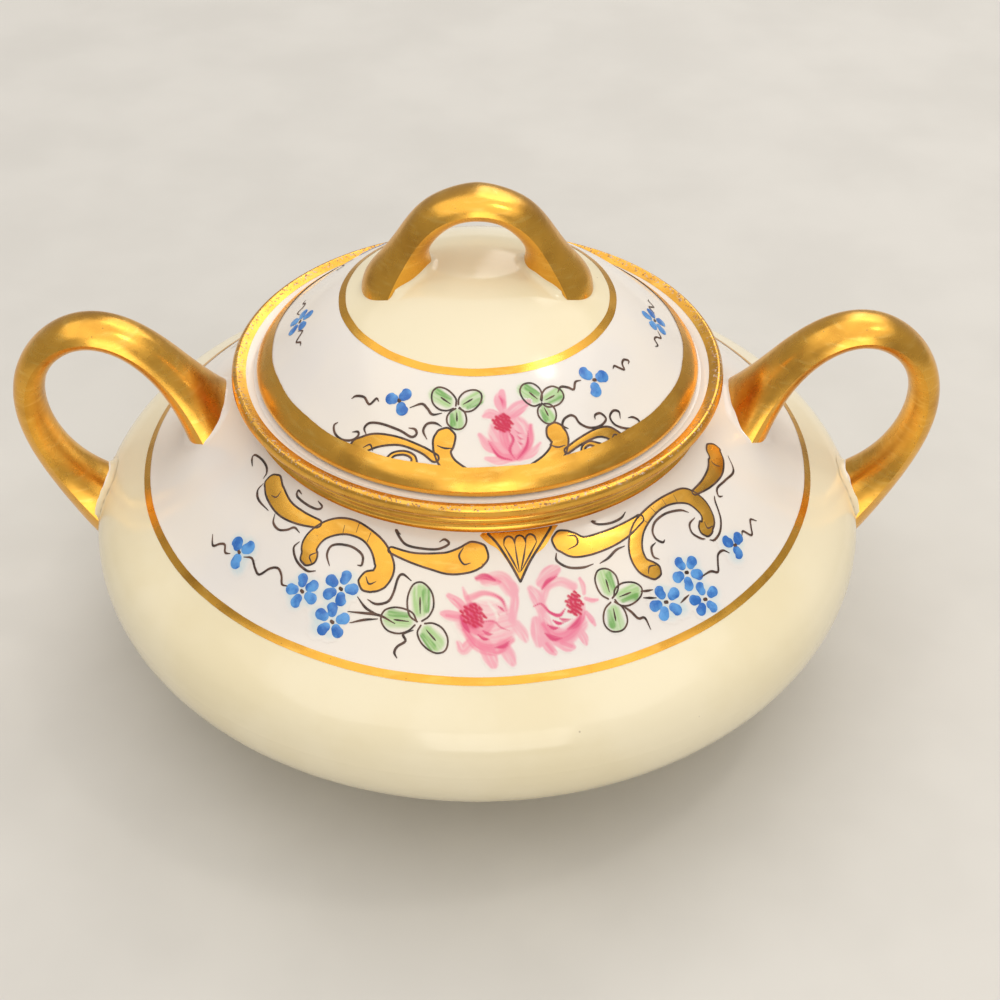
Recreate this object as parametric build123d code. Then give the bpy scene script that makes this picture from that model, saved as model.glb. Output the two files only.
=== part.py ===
from build123d import *
import os

# A squat porcelain covered sugar bowl: a slip-cast bowl on a foot ring, two loop
# handles luted to its sides, and a domed lid with a locating flange and a loop
# handle. Millimetres, +Z up. The foot stands on z = 0, Z is the axis of the bowl
# and the two side handles lie along X.

# Half sections below are drawn as (radius, height) and turned about Z.

# Bowl, outside
UNDERSIDE_R = 27.5       # where the rounded lower half runs into the flat bottom
UNDERSIDE_Z = 5.4
BELLY_R = 68.0           # widest line
BELLY_Z = 28.0
SHOULDER = [(58.5, 39.0), (50.3, 46.0)]
COLLAR_R = 39.4          # foot of the collar, where the shoulder stops
COLLAR_Z = 53.1
COLLAR_SLOPE = (-0.87, 0.5)

# Collar, rolled lip and gallery
COVE_R = 38.7            # hollow above the shoulder
COVE_TOP_R = 39.1
COVE_TOP_Z = 54.8
BEAD_R = 39.9            # small bead half way up
BEAD_TOP_R = 39.2
BEAD_TOP_Z = 56.2
LIP_UNDER_R = 41.0
LIP_UNDER_Z = 57.3
LIP_R = 41.9             # widest line of the lip
LIP_TOP_R = 41.1
LIP_TOP_Z = 59.6
LIP_INNER_R = 39.5
LIP_INNER_Z = 58.9
SEAT_OUTER_R = 38.2      # the lid rests on the flat seat inside the lip
SEAT_Z = 58.2
MOUTH_R = 35.4
THROAT_Z = 53.6          # bottom of the straight mouth

# Bowl, inside
WALL = 3.6
INNER_SHOULDER = [(37.6, 50.0), (48.0, 43.0), (55.8, 36.4)]
FLOOR_R = 24.0
FLOOR_Z = 9.6

# Foot ring
FOOT_OUTER_R = 39.2
FOOT_INNER_R = 34.2
FOOT_RIM_WIDTH = 2.6     # flat part that stands on the table
FOOT_WAIST_R = 38.3
FOOT_WAIST_Z = 3.4
FOOT_TOP_R = 41.5        # the ring is shaped inside the bowl's wall above here
FOOT_TOP_Z = 9.0

# Lid
LID_GAP = 0.3            # seat to lid
LID_BASE_Z = SEAT_Z + LID_GAP
LID_BASE_R = 36.9
LID_R = 37.5
LID_R_Z = 59.2
LID_SHOULDER = (35.0, 62.1)
LID_DOME = [(29.0, 67.3), (22.7, 71.7), (12.0, 76.6)]
LID_TOP_Z = 78.6
LID_WALL = 3.2
LID_MOUTH_R = 32.0
LID_INNER = [(29.4, 63.0), (20.6, 69.2), (10.0, 73.9)]

# Locating flange under the lid
FLANGE_R = 34.9
FLANGE_INNER_R = 32.3
FLANGE_DEPTH = 4.2       # how far it reaches down into the mouth
FLANGE_ROUND = 1.0

RIDGE_LEAN = 0.5         # how far both faces lean in where they meet along the ridge

# Loop handles as stations along the centre line: (x, z), width across Y, thickness
# in the plane of the loop, and how far the side ridges sit out from mid thickness.
# The first and last stations are buried in the wall, so the handle flares as it
# meets the surface.
SIDE_HANDLE = [
    ((42.0, 40.0), 25.0, 11.5, 0.0),
    ((46.6, 47.5), 20.0, 9.0, 0.0),
    ((51.2, 54.6), 12.6, 6.8, 0.0),
    ((57.0, 61.2), 10.2, 5.8, 0.0),
    ((64.8, 64.8), 9.6, 5.4, 0.0),
    ((72.8, 62.0), 9.2, 5.2, 0.0),
    ((77.4, 54.0), 9.0, 5.2, 0.0),
    ((77.0, 44.8), 9.2, 5.4, 0.0),
    ((73.6, 37.0), 10.6, 6.6, 0.0),
    ((68.6, 30.6), 14.5, 9.4, 0.0),
    ((62.0, 24.6), 19.0, 12.0, 0.0),
]
LID_HANDLE_FOOT = [
    ((12.6, 68.0), 14.5, 14.6, 3.0),
    ((12.4, 73.6), 13.8, 13.6, 2.6),
    ((11.8, 77.6), 11.6, 10.4, 1.5),
    ((11.0, 81.0), 9.8, 6.6, 0.4),
    ((8.9, 84.9), 9.4, 5.4, 0.0),
    ((4.9, 88.2), 9.6, 4.8, 0.0),
]
LID_HANDLE_CROWN = ((0.0, 89.4), 10.0, 4.6, 0.0)


def chain(*points):
    """Straight edges through the given points."""
    return [Line(a, b) for a, b in zip(points[:-1], points[1:])]


def turned(edges):
    """The solid of revolution of a closed half section."""
    return revolve(Plane.XZ * make_face(edges), Axis.Z)


def bowl_outside():
    """Edges of the bowl's outside from the flat bottom to the foot of the collar."""
    lower = EllipticalCenterArc(
        (UNDERSIDE_R, BELLY_Z),
        BELLY_R - UNDERSIDE_R,
        BELLY_Z - UNDERSIDE_Z,
        start_angle=270,
        arc_size=90,
    )
    upper = Spline(
        (BELLY_R, BELLY_Z),
        *SHOULDER,
        (COLLAR_R, COLLAR_Z),
        tangents=((0, 1), COLLAR_SLOPE),
    )
    return [lower, upper]


def bowl_envelope():
    """The bowl's outside filled solid, used to cut what is luted onto it."""
    underside = (UNDERSIDE_R, UNDERSIDE_Z)
    closing = chain((COLLAR_R, COLLAR_Z), (0, COLLAR_Z), (0, UNDERSIDE_Z), underside)
    return turned(bowl_outside() + closing)


def collar_and_gallery():
    """Edges from the foot of the collar over the lip to the bottom of the mouth."""
    cove_middle = (COVE_R, (COLLAR_Z + COVE_TOP_Z) / 2)
    cove_top = (COVE_TOP_R, COVE_TOP_Z)
    bead_middle = (BEAD_R, (COVE_TOP_Z + BEAD_TOP_Z) / 2)
    bead_top = (BEAD_TOP_R, BEAD_TOP_Z)
    lip_under = (LIP_UNDER_R, LIP_UNDER_Z)
    lip_middle = (LIP_R, (LIP_UNDER_Z + LIP_TOP_Z) / 2)
    lip_top = (LIP_TOP_R, LIP_TOP_Z)
    cove = ThreePointArc((COLLAR_R, COLLAR_Z), cove_middle, cove_top)
    bead = ThreePointArc(cove_top, bead_middle, bead_top)
    under_lip = Spline(bead_top, lip_under, tangents=((0.2, 1), (1, 0.4)))
    lip = ThreePointArc(lip_under, lip_middle, lip_top)
    inside = chain(
        lip_top,
        (LIP_INNER_R, LIP_INNER_Z),
        (SEAT_OUTER_R, SEAT_Z),
        (MOUTH_R, SEAT_Z),
        (MOUTH_R, THROAT_Z),
    )
    return [cove, bead, under_lip, lip] + inside


def bowl_inside():
    """Edges from the bottom of the mouth down the inner wall to the floor."""
    upper = Spline(
        (MOUTH_R, THROAT_Z),
        *INNER_SHOULDER,
        (BELLY_R - WALL, BELLY_Z),
        tangents=((0, -1), (0, -1)),
    )
    lower = EllipticalCenterArc(
        (FLOOR_R, BELLY_Z),
        BELLY_R - WALL - FLOOR_R,
        BELLY_Z - FLOOR_Z,
        start_angle=270,
        arc_size=90,
    )
    return [upper, lower]


def bowl_body():
    underside = (UNDERSIDE_R, UNDERSIDE_Z)
    bottom = chain((FLOOR_R, FLOOR_Z), (0, FLOOR_Z), (0, UNDERSIDE_Z), underside)
    return turned(bowl_outside() + collar_and_gallery() + bowl_inside() + bottom)


def foot_ring():
    """A turned ring with a slightly waisted side, seated against the underside."""
    corner = (FOOT_OUTER_R - FOOT_INNER_R - FOOT_RIM_WIDTH) / 2
    rim_inner_r = FOOT_INNER_R + corner
    rim_outer_r = rim_inner_r + FOOT_RIM_WIDTH
    outside = Spline(
        (FOOT_OUTER_R, corner),
        (FOOT_WAIST_R, FOOT_WAIST_Z),
        (FOOT_TOP_R, FOOT_TOP_Z),
        tangents=((0, 1), (1, 1)),
    )
    ring = turned(
        [
            Line((rim_inner_r, 0), (rim_outer_r, 0)),
            RadiusArc((rim_outer_r, 0), (FOOT_OUTER_R, corner), -corner),
            outside,
            *chain((FOOT_TOP_R, FOOT_TOP_Z), (FOOT_INNER_R, FOOT_TOP_Z), (FOOT_INNER_R, corner)),
            RadiusArc((FOOT_INNER_R, corner), (rim_inner_r, 0), -corner),
        ]
    )
    return ring - bowl_envelope()


def handle_section(width, thickness, ridge):
    """An oval whose outer and inner faces meet in a soft ridge down each side."""
    left = (-width / 2, ridge)
    right = (width / 2, ridge)
    outer_top = (0, thickness / 2)
    inner_top = (0, -thickness / 2)
    outer = Spline(right, outer_top, left, tangents=((-RIDGE_LEAN, 1), (-RIDGE_LEAN, -1)))
    inner = Spline(left, inner_top, right, tangents=((RIDGE_LEAN, -1), (RIDGE_LEAN, 1)))
    return make_face([outer, inner])


def loop(stations):
    """A handle lofted through sections square to its centre line, which starts upwards."""
    centre_line = Spline(*[(x, 0, z) for (x, z), *_ in stations])
    sections = []
    for (x, z), width, thickness, ridge in stations:
        along = centre_line % centre_line.param_at_point((x, 0, z))
        plane = Plane(origin=(x, 0, z), x_dir=(0, 1, 0), z_dir=along)
        sections.append(plane * handle_section(width, thickness, ridge))
    return loft(sections)


def side_handle():
    """The handle on the +X side, cut to the curve of the bowl."""
    return (loop(SIDE_HANDLE) - bowl_envelope()).solids().sort_by(SortBy.VOLUME)[-1]


def lid_outside():
    """Edges of the lid's outside from its base up to the middle of the dome."""
    edge = ThreePointArc((LID_BASE_R, LID_BASE_Z), (LID_R, LID_R_Z), (LID_R - 0.2, LID_R_Z + 0.5))
    dome = Spline(
        (LID_R - 0.2, LID_R_Z + 0.5),
        LID_SHOULDER,
        *LID_DOME,
        (0, LID_TOP_Z),
        tangents=((-0.5, 0.87), (-1, 0)),
    )
    return [edge, dome]


def lid_shell():
    inner = Spline(
        (0, LID_TOP_Z - LID_WALL),
        *reversed(LID_INNER),
        (LID_MOUTH_R, LID_BASE_Z),
        tangents=((1, 0), (0.2, -1)),
    )
    crown = Line((0, LID_TOP_Z), (0, LID_TOP_Z - LID_WALL))
    base = Line((LID_MOUTH_R, LID_BASE_Z), (LID_BASE_R, LID_BASE_Z))
    return turned(lid_outside() + [crown, inner, base])


def lid_flange():
    """The ring under the lid that keeps it centred in the mouth."""
    bottom = SEAT_Z - FLANGE_DEPTH
    outer_low = (FLANGE_R - FLANGE_ROUND, bottom)
    outer_side = (FLANGE_R, bottom + FLANGE_ROUND)
    inner_side = (FLANGE_INNER_R, bottom + FLANGE_ROUND)
    inner_low = (FLANGE_INNER_R + FLANGE_ROUND, bottom)
    return turned(
        [
            Line(inner_low, outer_low),
            RadiusArc(outer_low, outer_side, -FLANGE_ROUND),
            *chain(outer_side, (FLANGE_R, LID_BASE_Z), (FLANGE_INNER_R, LID_BASE_Z), inner_side),
            RadiusArc(inner_side, inner_low, -FLANGE_ROUND),
        ]
    )


def lid_handle():
    """The arch on the lid, cut to the curve of the dome."""
    other_foot = [((-x, z), *section) for (x, z), *section in LID_HANDLE_FOOT]
    arch = loop(other_foot + [LID_HANDLE_CROWN] + LID_HANDLE_FOOT[::-1])
    dome = turned(lid_outside() + chain((0, LID_TOP_Z), (0, LID_BASE_Z), (LID_BASE_R, LID_BASE_Z)))
    return (arch - dome).solids().sort_by(SortBy.VOLUME)[-1]


right = side_handle()
parts = {
    "bowl_body": bowl_body(),
    "foot_ring": foot_ring(),
    "handle_right": right,
    "handle_left": mirror(right, about=Plane.YZ),
    "lid_shell": lid_shell(),
    "lid_flange": lid_flange(),
    "lid_handle": lid_handle(),
}

os.makedirs("parts", exist_ok=True)
for name, solid in parts.items():
    export_step(solid, f"parts/{name}.step")
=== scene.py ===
"""A covered sugar bowl: glaze, gilding and hand-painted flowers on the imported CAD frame."""
import math

import bmesh
import bpy
import numpy as np
from mathutils import Matrix, Vector, noise
from mathutils.bvhtree import BVHTree


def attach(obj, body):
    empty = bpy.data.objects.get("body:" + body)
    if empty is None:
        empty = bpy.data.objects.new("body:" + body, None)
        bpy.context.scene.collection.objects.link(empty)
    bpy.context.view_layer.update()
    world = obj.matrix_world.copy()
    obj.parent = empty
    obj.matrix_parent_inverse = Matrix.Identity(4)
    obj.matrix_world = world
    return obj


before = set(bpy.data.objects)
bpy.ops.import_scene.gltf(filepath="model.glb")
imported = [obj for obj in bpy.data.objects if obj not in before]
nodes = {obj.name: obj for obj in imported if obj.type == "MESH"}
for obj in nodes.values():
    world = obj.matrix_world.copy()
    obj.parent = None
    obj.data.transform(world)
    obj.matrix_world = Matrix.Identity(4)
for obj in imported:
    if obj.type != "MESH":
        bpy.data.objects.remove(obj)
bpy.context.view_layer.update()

MM = 0.001
BACK = math.pi           # the back carries the same decoration, half a turn round

# Places on the turned surfaces, in mm
COLLAR_Z = 53.1          # foot of the gilt collar
BELLY_LOW_Z = 9.0        # nothing is painted below this
LIP_R = 41.8             # widest line of the rolled lip
LIP_INNER_R = 39.5       # where the gilding of the lip stops at the gallery
LIP_SIDE_Z = 58.4        # below this the lip's profile is probed from the side
LIP_CREST_Z = (59.0, 59.4)     # the lip's wear sets in between these heights
LID_EDGE_R = 36.6        # the lid's profile is probed from above inside this, from the side outside it
LID_BASE_Z = 58.6
FLANGE_BARE_Z = (55.2, 54.5)   # the flange's glaze thins to bare china between these heights
FOOT_BARE_Z = (0.9, 0.4)       # and so does the foot's
BOWL_REF = 50.0          # circle on which "across" is measured, on the shoulder
LID_REF = 30.0           # and on the lid
BOWL_LINE = 23.4         # middle of the gold line below the shoulder, mm down from the collar
LID_ZERO = 21.0          # down is counted from here on the lid, in mm along it from its middle
LID_LINE = 2.85          # middle of the gold line on the lid
LID_BAND = 18.3          # where the lid's gilt edge starts
LINE_WIDTH = 1.35

# Layers over the glaze, in mm
PAINT_LIFT = 0.03
GOLD_LIFT = 0.05
INK_LIFT = 0.075
EDGE_LIFT = 0.14         # the lid's gilt edge covers the ends of the scrolls that run into it

# Widths of the ink brushes, in mm
LINE = 0.40
LINE_FINE = 0.34
LINE_LEAF = 0.29


# ---------------------------------------------------------------- turned surfaces

def probe(tree, origin, direction):
    """(radius, height) in mm where a ray given in mm meets the mesh."""
    hit = tree.ray_cast(Vector(origin) * MM, Vector(direction))[0]
    return math.hypot(hit.x, hit.y) / MM, hit.z / MM


def from_side(tree, heights):
    return [probe(tree, (200, 0.01, z), (-1, 0, 0)) for z in heights]


def from_above(tree, radii):
    return [probe(tree, (r, 0.01, 200), (0, 0, -1)) for r in radii]


def tree_of(node):
    mesh = nodes[node].data
    return BVHTree.FromPolygons([v.co for v in mesh.vertices], [p.vertices for p in mesh.polygons])


class Skin:
    """A turned surface that painted shapes lie on.

    A place on it is (across, down) in mm. Across runs to the viewer's right along the circle of radius
    ref, from the middle of the front. Down runs along the profile, outwards and down, from zero mm along it.
    """

    def __init__(self, profile, ref, zero=0.0):
        self.r, self.z = np.array(profile).T
        steps = np.hypot(np.diff(self.r), np.diff(self.z))
        self.s = np.concatenate([[0.0], np.cumsum(steps)]) - zero
        self.normal_r = -np.gradient(self.z, self.s)
        self.normal_z = np.gradient(self.r, self.s)
        self.ref = ref

    def stretch(self, down):
        """Real mm round the surface for 1 mm of across."""
        return np.interp(down, self.s, self.r) / self.ref

    def place(self, across, down, lift, turn=0.0):
        """Points in metres, lifted off the surface by lift mm."""
        r = np.interp(down, self.s, self.r) + lift * np.interp(down, self.s, self.normal_r)
        z = np.interp(down, self.s, self.z) + lift * np.interp(down, self.s, self.normal_z)
        angle = np.asarray(across) / self.ref - math.pi / 2 + turn
        return np.stack([r * np.cos(angle), r * np.sin(angle), z], -1) * MM

    def nearest(self, point):
        """(foot on the surface, outward normal) of a point beside the surface, in metres."""
        r = math.hypot(point.x, point.y)
        k = int(np.argmin(np.hypot(self.r - r / MM, self.z - point.z / MM)))
        out = Vector((point.x / r, point.y / r, 0))
        normal = (out * self.normal_r[k] + Vector((0, 0, self.normal_z[k]))).normalized()
        on_profile = out * (self.r[k] * MM) + Vector((0, 0, self.z[k] * MM))
        return point - normal * ((point - on_profile) @ normal), normal


bowl_tree = tree_of("bowl_body")
lid_tree = tree_of("lid_shell")
shoulder = Skin(from_side(bowl_tree, np.arange(COLLAR_Z - 0.05, BELLY_LOW_Z, -0.15)), BOWL_REF)
lip_top = from_above(bowl_tree, np.arange(LIP_INNER_R, LIP_R, 0.06))
lip = Skin(lip_top + from_side(bowl_tree, np.arange(LIP_SIDE_Z, COLLAR_Z - 0.1, -0.1)), BOWL_REF)
dome_top = from_above(lid_tree, np.arange(0.02, LID_EDGE_R, 0.2))
dome_edge = from_side(lid_tree, np.arange(dome_top[-1][1] - 0.1, LID_BASE_Z, -0.1))
dome = Skin(dome_top + dome_edge, LID_REF, LID_ZERO)


# ---------------------------------------------------------------- strokes and sheets

def smooth(stations, step=0.3):
    """A Catmull-Rom curve through stations of any dimension, sampled about every step mm."""
    p = np.array(stations, float)
    p = np.vstack([2 * p[0] - p[1], p, 2 * p[-1] - p[-2]])
    out = []
    for a, b, c, d in zip(p[:-3], p[1:-2], p[2:-1], p[3:]):
        count = max(2, int(np.hypot(*(c - b)[:2]) / step) + 1)
        t = np.linspace(0, 1, count, endpoint=False)[:, None]
        square = 2 * a - 5 * b + 4 * c - d
        cube = 3 * b - a - 3 * c + d
        out.append(0.5 * (2 * b + (c - a) * t + square * t**2 + cube * t**3))
    return np.vstack(out + [p[-2:-1]])


ROUND_END = np.array([1.0, 0.92, 0.7, 0.38])   # places along a stroke's end, in half widths


class Layer:
    """Many strokes on one skin, gathered into one mesh."""

    def __init__(self, skin, lift):
        self.skin = skin
        self.lift = lift
        self.points = []
        self.faces = []
        self.count = 0

    def grid(self, points):
        """Adds a rows x columns grid of points, as quads."""
        rows, columns = points.shape[:2]
        index = self.count + np.arange(rows * columns).reshape(rows, columns)
        corners = (index[:-1, :-1], index[:-1, 1:], index[1:, 1:], index[1:, :-1])
        self.faces += np.stack([c.ravel() for c in corners], -1).tolist()
        self.points.append(points.reshape(-1, 3))
        self.count += rows * columns

    def spread(self, stations, columns):
        """The grid that a stroke through (across, down, width) stations covers.

        Returns its across, its down, and how wide the round ends leave it, from 0 to 1.
        """
        path = smooth(stations)
        stretch = self.skin.stretch(path[:, 1])
        heading = np.gradient(path[:, :2] * np.stack([stretch, np.ones_like(stretch)], -1), axis=0)
        heading /= np.maximum(np.hypot(*heading.T), 1e-9)[:, None]
        x = np.concatenate([-ROUND_END, np.zeros(len(path)), ROUND_END[::-1]])[:, None]
        k = np.concatenate([[0] * len(ROUND_END), np.arange(len(path)), [-1] * len(ROUND_END)])
        half = path[k, 2:] / 2
        round_off = np.sqrt(1 - x**2)
        side = np.linspace(-1, 1, columns + 1)[None, :] * half * round_off
        across = path[k, :1] + (x * half * heading[k, :1] - side * heading[k, 1:]) / stretch[k, None]
        down = path[k, 1:2] + x * half * heading[k, 1:] + side * heading[k, :1]
        return across, down, round_off

    def stroke(self, stations, turn=0.0, columns=2, crown=0.03):
        """A brush stroke with round ends and a raised middle."""
        across, down, round_off = self.spread(stations, columns)
        lift = self.lift + crown * (1 - np.linspace(-1, 1, columns + 1) ** 2) * round_off
        self.grid(self.skin.place(across, down, lift, turn))

    def outline(self, stations, width, turn=0.0):
        """A thin line round the edge that a stroke has."""
        across, down, _ = self.spread(stations, 1)
        edges = np.stack([across, down], -1)
        loop = np.concatenate([edges[:, 0], edges[::-1, 1]])
        self.stroke([(*loop[k], width) for k in range(0, len(loop), 2)] + [(*loop[0], width)], turn)

    def band(self, start, end, wobble=0.0, seed=0.0, steps=720):
        """A ring round the whole surface between two distances down, with hand-drawn edges."""
        turn = np.linspace(0, 2 * math.pi, steps + 1)
        slow = np.sin(3 * turn + seed) + 0.6 * np.sin(7 * turn + 2 * seed)
        sway = wobble * (slow + 0.5 * np.sin(19 * turn + seed))
        places = [(40 * math.cos(a), 40 * math.sin(a), seed) for a in turn]
        ragged = 0.35 * wobble * np.array([noise.noise(place) for place in places])
        first = start + sway + ragged
        last = end + 0.8 * sway - ragged
        rows = int((end - start) / 0.3) + 3
        down = first + np.linspace(0, 1, rows)[:, None] * (last - first)
        across = np.broadcast_to(turn * self.skin.ref, down.shape)
        self.grid(self.skin.place(across, down, self.lift))

    def build(self, name, body, material, slot):
        return new_piece(name, np.vstack(self.points), self.faces, body, material)


def new_piece(name, points, faces, body, material, tint=None):
    mesh = bpy.data.meshes.new(name)
    mesh.from_pydata(points.tolist(), [], faces)
    if tint is not None:
        layer = mesh.color_attributes.new("tint", "FLOAT_COLOR", "POINT")
        layer.data.foreach_set("color", np.hstack([tint, np.ones((len(tint), 1))]).ravel())
    bm = bmesh.new()
    bm.from_mesh(mesh)
    bmesh.ops.remove_doubles(bm, verts=bm.verts, dist=0.002 * MM)
    bmesh.ops.dissolve_degenerate(bm, edges=bm.edges, dist=0.001 * MM)
    bm.to_mesh(mesh)
    bm.free()
    mesh.shade_smooth()
    mesh.materials.append(material)
    piece = bpy.data.objects.new(name, mesh)
    bpy.context.scene.collection.objects.link(piece)
    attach(piece, body)
    return piece


class Wash:
    """A small patch of glaze with transparent colours brushed onto it, point by point.

    Places on the patch are (x, y) in mm from its middle, x to the viewer's right and y down.
    """

    def __init__(self, skin, middle, size, turn=0.0, step=0.17):
        self.skin = skin
        self.turn = turn
        self.middle = middle
        self.x, self.y = np.meshgrid(*(np.arange(-side / 2, side / 2 + step, step) for side in size))
        self.tint = np.ones(self.x.shape + (3,))

    def dab(self, stations, colour, strength=1.0, soft=0.5, streaks=0.28):
        """Brushes colour along (x, y, width) stations, streaked by the bristles.

        It fades over the outer soft mm of the stroke.
        """
        path = smooth(stations, 0.35)
        half = path[:, 2] / 2
        heading = np.gradient(path[:, :2], axis=0)
        heading /= np.maximum(np.hypot(*heading.T), 1e-9)[:, None]
        reach = half.max() + 0.2
        near = (
            (self.x > path[:, 0].min() - reach) & (self.x < path[:, 0].max() + reach)
            & (self.y > path[:, 1].min() - reach) & (self.y < path[:, 1].max() + reach)
        )
        x, y = self.x[near], self.y[near]
        inside = half - np.hypot(x[:, None] - path[:, 0], y[:, None] - path[:, 1])
        closest = inside.argmax(1)
        depth = np.clip(inside.max(1) / soft, 0, 1)
        beside = heading[closest, 0] * (y - path[closest, 1]) - heading[closest, 1] * (x - path[closest, 0])
        grain = np.array([noise.noise((3.2 * b, 0.12 * k, path[0, 0])) for b, k in zip(beside, closest)])
        cover = strength * depth * depth * (3 - 2 * depth) * (1 + streaks * 2 * grain)
        self.tint[near] += np.clip(cover, 0, 1)[:, None] * (np.array(colour) - self.tint[near])

    def build(self, name, body, material, slot):
        down = self.middle[1] + self.y
        across = self.middle[0] + self.x / self.skin.stretch(down)
        points = self.skin.place(across, down, PAINT_LIFT, self.turn).reshape(-1, 3)
        rows, columns = self.x.shape
        index = np.arange(rows * columns).reshape(rows, columns)
        corners = np.stack([index[:-1, :-1], index[:-1, 1:], index[1:, 1:], index[1:, :-1]], -1)
        corners = corners.reshape(-1, 4)
        tint = self.tint.reshape(-1, 3)
        painted = tint.min(1) < 0.995
        corners = corners[painted[corners].any(1)]
        used, faces = np.unique(corners, return_inverse=True)
        return new_piece(name, points[used], faces.reshape(-1, 4).tolist(), body, material, tint[used])


# ---------------------------------------------------------------- materials

def add(tree, kind, inputs=None, **settings):
    """A shader node with its settings and inputs filled in."""
    node = tree.nodes.new(kind)
    for key, value in settings.items():
        setattr(node, key, value)
    for key, value in (inputs or {}).items():
        if isinstance(value, bpy.types.NodeSocket):
            tree.links.new(value, node.inputs[key])
        else:
            node.inputs[key].default_value = value
    return node


def calc(tree, operation, a, b=0.0):
    return add(tree, "ShaderNodeMath", {0: a, 1: b}, operation=operation).outputs[0]


def between(tree, value, low, high, start=0.0, end=1.0):
    """Maps value from low..high to start..end, smoothly and clamped."""
    inputs = {"Value": value, "From Min": low, "From Max": high, "To Min": start, "To Max": end}
    return add(tree, "ShaderNodeMapRange", inputs, interpolation_type="SMOOTHSTEP").outputs[0]


def blend(tree, factor, a, b, mode="MIX"):
    """Mixes two colours, each a socket or a linear (r, g, b)."""
    a, b = (c if isinstance(c, bpy.types.NodeSocket) else (*c, 1.0) for c in (a, b))
    return add(tree, "ShaderNodeMix", {0: factor, 6: a, 7: b}, data_type="RGBA", blend_type=mode).outputs[2]


def mottle(tree, scale, detail=3.0, stretch=(1, 1, 1)):
    """A noise fixed to the object; scale is in blotches per metre."""
    place = add(tree, "ShaderNodeTexCoord").outputs["Object"]
    place = add(tree, "ShaderNodeMapping", {"Vector": place, "Scale": stretch}).outputs[0]
    return add(tree, "ShaderNodeTexNoise", {"Vector": place, "Scale": scale, "Detail": detail}).outputs[0]


def specks(tree, scale, size):
    """1 in small scattered dots, 0 elsewhere."""
    place = add(tree, "ShaderNodeTexCoord").outputs["Object"]
    distance = add(tree, "ShaderNodeTexVoronoi", {"Vector": place, "Scale": scale}).outputs["Distance"]
    return between(tree, distance, size, 0.6 * size)


def bump(tree, height, depth_mm):
    inputs = {"Height": height, "Distance": depth_mm * MM, "Strength": 1.0}
    return add(tree, "ShaderNodeBump", inputs).outputs[0]


def finished(name, build):
    """A material whose surface build(tree) describes as inputs of a Principled shader."""
    material = bpy.data.materials.new(name)
    material.use_nodes = True
    tree = material.node_tree
    tree.nodes.clear()
    surface = add(tree, "ShaderNodeBsdfPrincipled", build(tree))
    add(tree, "ShaderNodeOutputMaterial", {"Surface": surface.outputs[0]})
    return material


# Linear colours of the glazes, of the gold and of what lies under it
WHITE = (0.87, 0.815, 0.75)
WHITE_COOL = (0.82, 0.785, 0.76)
IVORY = (0.87, 0.79, 0.58)
IVORY_DEEP = (0.83, 0.74, 0.51)
KILN_SPECK = (0.32, 0.24, 0.16)
GOLD = (0.84, 0.445, 0.068)
# dark brown of the gold's random blotches: worn gilding and painted shade standing in for dark reflections
GOLD_RUBBED_AND_SHADE = (0.40, 0.175, 0.025)
GOLD_BRIGHT = (0.98, 0.64, 0.17)
PINHOLE = (0.13, 0.05, 0.015)
WORN_BROWN = (0.33, 0.14, 0.05)
WORN_WHITE = (0.62, 0.48, 0.38)
LINE_Z = float(np.interp(BOWL_LINE, shoulder.s, shoulder.z)) * MM
LINE_R = float(np.interp(LID_LINE, dome.s, dome.r)) * MM


def radius(tree):
    """Distance from the axis in metres."""
    place = add(tree, "ShaderNodeTexCoord").outputs["Object"]
    flat = add(tree, "ShaderNodeVectorMath", {0: place, 1: (1, 1, 0)}, operation="MULTIPLY").outputs[0]
    return add(tree, "ShaderNodeVectorMath", {0: flat}, operation="LENGTH").outputs["Value"]


def facing_out(tree):
    """1 where the surface looks away from the axis, 0 where it looks at it."""
    coords = add(tree, "ShaderNodeTexCoord")
    inputs = {0: coords.outputs["Object"], 1: (1, 1, 0)}
    flat = add(tree, "ShaderNodeVectorMath", inputs, operation="MULTIPLY")
    inputs = {0: flat.outputs[0], 1: coords.outputs["Normal"]}
    outward = add(tree, "ShaderNodeVectorMath", inputs, operation="DOT_PRODUCT").outputs["Value"]
    return calc(tree, "GREATER_THAN", outward, 0.0)


def height(tree):
    """Height above the table in metres."""
    place = add(tree, "ShaderNodeTexCoord").outputs["Object"]
    return add(tree, "ShaderNodeSeparateXYZ", {0: place}).outputs["Z"]


def bowl_ivory(tree):
    return calc(tree, "MULTIPLY", calc(tree, "LESS_THAN", height(tree), LINE_Z), facing_out(tree))


def lid_ivory(tree):
    return calc(tree, "LESS_THAN", radius(tree), LINE_R)


def ivory_glaze(tree):
    return blend(tree, between(tree, mottle(tree, 38, 5.0), 0.42, 0.68), IVORY, IVORY_DEEP)


def porcelain(name, ivory, painted=False):
    """Glazed china: cool white, tinted ivory where ivory(tree) is 1, with any brushed colours over it."""
    def build(tree):
        white = blend(tree, between(tree, mottle(tree, 45), 0.35, 0.7), WHITE, WHITE_COOL)
        colour = blend(tree, ivory(tree), white, ivory_glaze(tree))
        colour = blend(tree, calc(tree, "MULTIPLY", specks(tree, 90, 0.018), 0.5), colour, KILN_SPECK)
        if painted:
            tint = add(tree, "ShaderNodeVertexColor", layer_name="tint").outputs[0]
            colour = blend(tree, 1.0, colour, tint, "MULTIPLY")
        return {
            "Base Color": colour,
            "Roughness": between(tree, mottle(tree, 120), 0.3, 0.7, 0.10, 0.18),
            "Normal": bump(tree, mottle(tree, 160, 1.0), 0.012),
            "IOR": 1.52,
        }
    return finished(name, build)


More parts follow.
